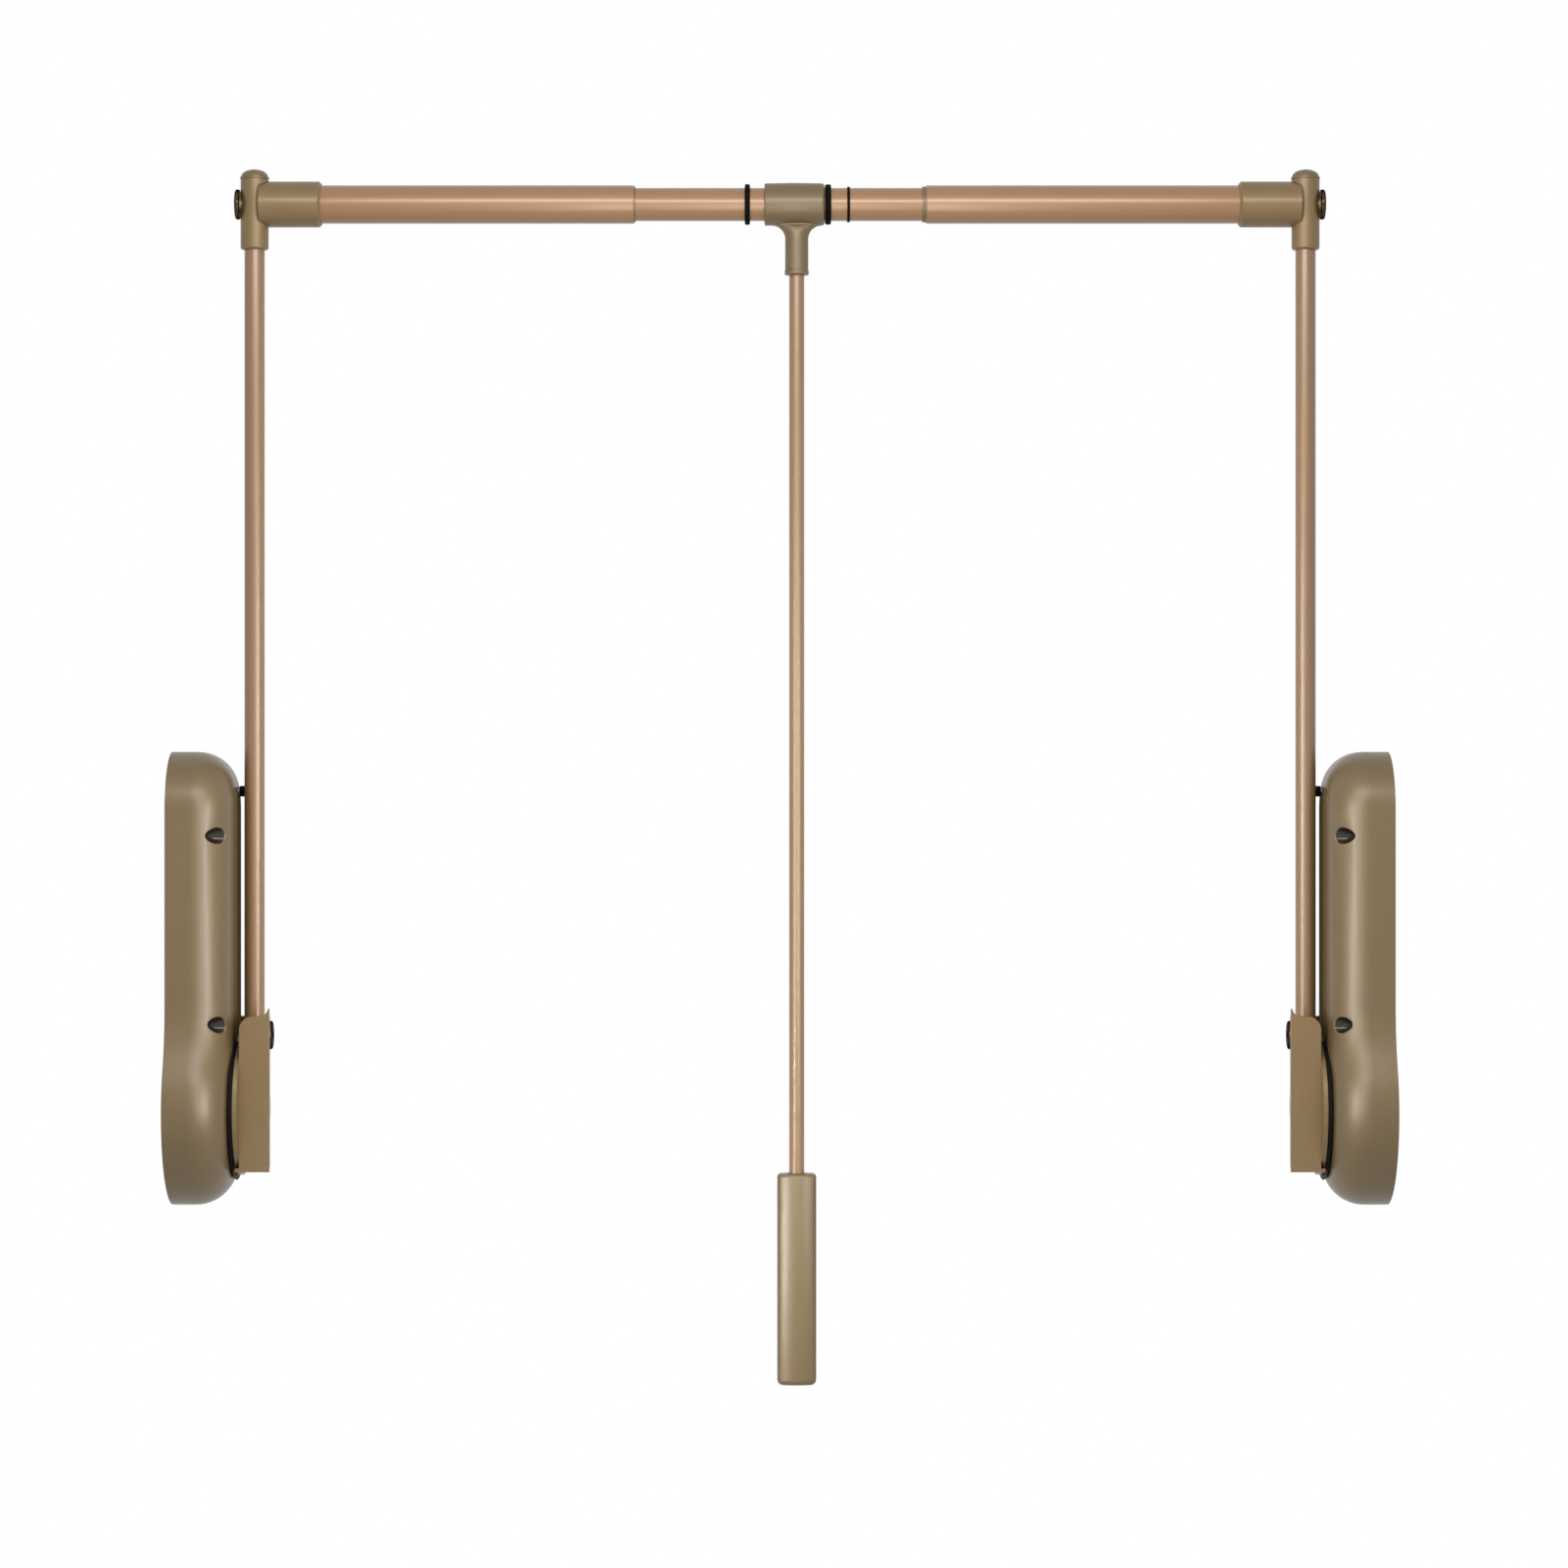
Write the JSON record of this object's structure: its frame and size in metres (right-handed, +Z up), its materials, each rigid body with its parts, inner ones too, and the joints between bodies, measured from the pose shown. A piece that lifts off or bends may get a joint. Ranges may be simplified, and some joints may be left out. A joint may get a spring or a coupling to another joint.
{
  "type": "pull-down wardrobe lift",
  "caption": "Pull-down wardrobe lift: sprung arms on side-wall housings carry a telescopic clothes rail, with a hanging pull rod and handle.",
  "frame": {"origin": "centre of the left unit's four wall screw holes, on the wall's face", "axes": "+X from the left wall to the right wall, -Y out of the wardrobe to the front, +Z up"},
  "size_m": [0.83, 0.1318, 0.8323],
  "materials": {
    "bronze_plastic": "satin bronze-coloured moulded plastic",
    "bronze_paint": "satin bronze paint on a zinc casting",
    "bronze_tube": "glossy copper-bronze lacquer on steel tube",
    "black_plastic": "satin black",
    "black_rubber": "matte black rubber",
    "white_plastic": "natural white bearing plastic",
    "zinc_steel": "zinc-plated sheet steel",
    "spring_steel": "oiled steel",
    "dark_steel": "burnished dark steel",
    "brass": "turned brass"
  },
  "bodies": {
    "left_unit": {"left_wall_plate": "zinc_steel", "left_housing": "bronze_plastic", "left_cover_screws": "zinc_steel", "left_plate_bush": "white_plastic", "left_cover_bush": "black_plastic", "left_rack_guide": "white_plastic", "left_spring_anchor": "zinc_steel", "left_lift_spring": "spring_steel", "left_damper_cylinder": "zinc_steel", "left_stop_peg": "zinc_steel", "left_stop_sleeve": "black_rubber"},
    "left_arm": {"left_pivot_axle": "spring_steel", "left_pinion": "spring_steel", "left_arm_bracket": "bronze_paint", "left_arm_screw": "dark_steel", "left_arm_tube": "bronze_tube", "left_arm_head": "bronze_paint", "left_head_cap": "bronze_plastic", "left_corner_screw": "dark_steel", "left_rail_sleeve": "bronze_paint", "left_outer_tube": "bronze_tube", "left_tube_bush": "bronze_plastic"},
    "left_rack": {"left_rack": "spring_steel", "left_damper_rod": "spring_steel"},
    "rail": {"inner_tube": "bronze_tube", "rail_end_bushes": "white_plastic", "left_rail_ring": "black_rubber", "tee_ring": "black_rubber", "right_rail_ring": "black_rubber"},
    "tee_slider": {"tee_liner": "white_plastic"},
    "pull_handle": {"tee": "bronze_plastic", "pull_rod": "bronze_tube", "handle": "bronze_plastic", "handle_insert": "brass"},
    "right_arm": {"right_pivot_axle": "spring_steel", "right_pinion": "spring_steel", "right_arm_bracket": "bronze_paint", "right_arm_screw": "dark_steel", "right_arm_tube": "bronze_tube", "right_arm_head": "bronze_paint", "right_head_cap": "bronze_plastic", "right_corner_screw": "dark_steel", "right_rail_sleeve": "bronze_paint", "right_outer_tube": "bronze_tube", "right_tube_bush": "bronze_plastic"},
    "right_unit": {"right_wall_plate": "zinc_steel", "right_housing": "bronze_plastic", "right_cover_screws": "zinc_steel", "right_plate_bush": "white_plastic", "right_cover_bush": "black_plastic", "right_rack_guide": "white_plastic", "right_spring_anchor": "zinc_steel", "right_lift_spring": "spring_steel", "right_damper_cylinder": "zinc_steel", "right_stop_peg": "zinc_steel", "right_stop_sleeve": "black_rubber"},
    "right_rack": {"right_rack": "spring_steel", "right_damper_rod": "spring_steel"}
  },
  "joints": [
    {"name": "lift", "type": "hinge", "parent": "left_unit", "child": "left_arm", "pos_m": [0.03, 0, -0.123], "axis": [1, 0, 0], "range_deg": [0, 90], "stiffness_Nm_per_rad": 14, "springref_deg": -34.38},
    {"name": "left_rack_slide", "type": "slide", "parent": "left_unit", "child": "left_rack", "axis": [0, 0, 1], "range_m": [0, 0.0253], "deforming": ["left_lift_spring"]},
    {"name": "left_extension", "type": "slide", "parent": "left_arm", "child": "rail", "axis": [1, 0, 0], "range_m": [0, 0.16]},
    {"name": "tee_shift", "type": "slide", "parent": "rail", "child": "tee_slider", "axis": [1, 0, 0], "range_m": [-0.0096, 0]},
    {"name": "rod_swing", "type": "hinge", "parent": "tee_slider", "child": "pull_handle", "pos_m": [0.415, 0, 0.496], "axis": [1, 0, 0], "continuous": true},
    {"name": "right_extension", "type": "slide", "parent": "rail", "child": "right_arm", "axis": [1, 0, 0], "range_m": [0, 0.16]},
    {"name": "right_lift", "type": "hinge", "parent": "right_arm", "child": "right_unit", "pos_m": [0.8, 0, -0.123], "axis": [1, 0, 0], "range_deg": [-90, 0]},
    {"name": "right_rack_slide", "type": "slide", "parent": "right_unit", "child": "right_rack", "axis": [0, 0, 1], "range_m": [0, 0.0253], "deforming": ["right_lift_spring"]}
  ],
  "couplings": [
    {"joint": "left_rack_slide", "follows": "lift", "m_per_rad": 0.016},
    {"joint": "right_rack_slide", "follows": "lift", "m_per_rad": 0.016},
    {"joint": "right_lift", "follows": "lift", "ratio": -1}
  ]
}
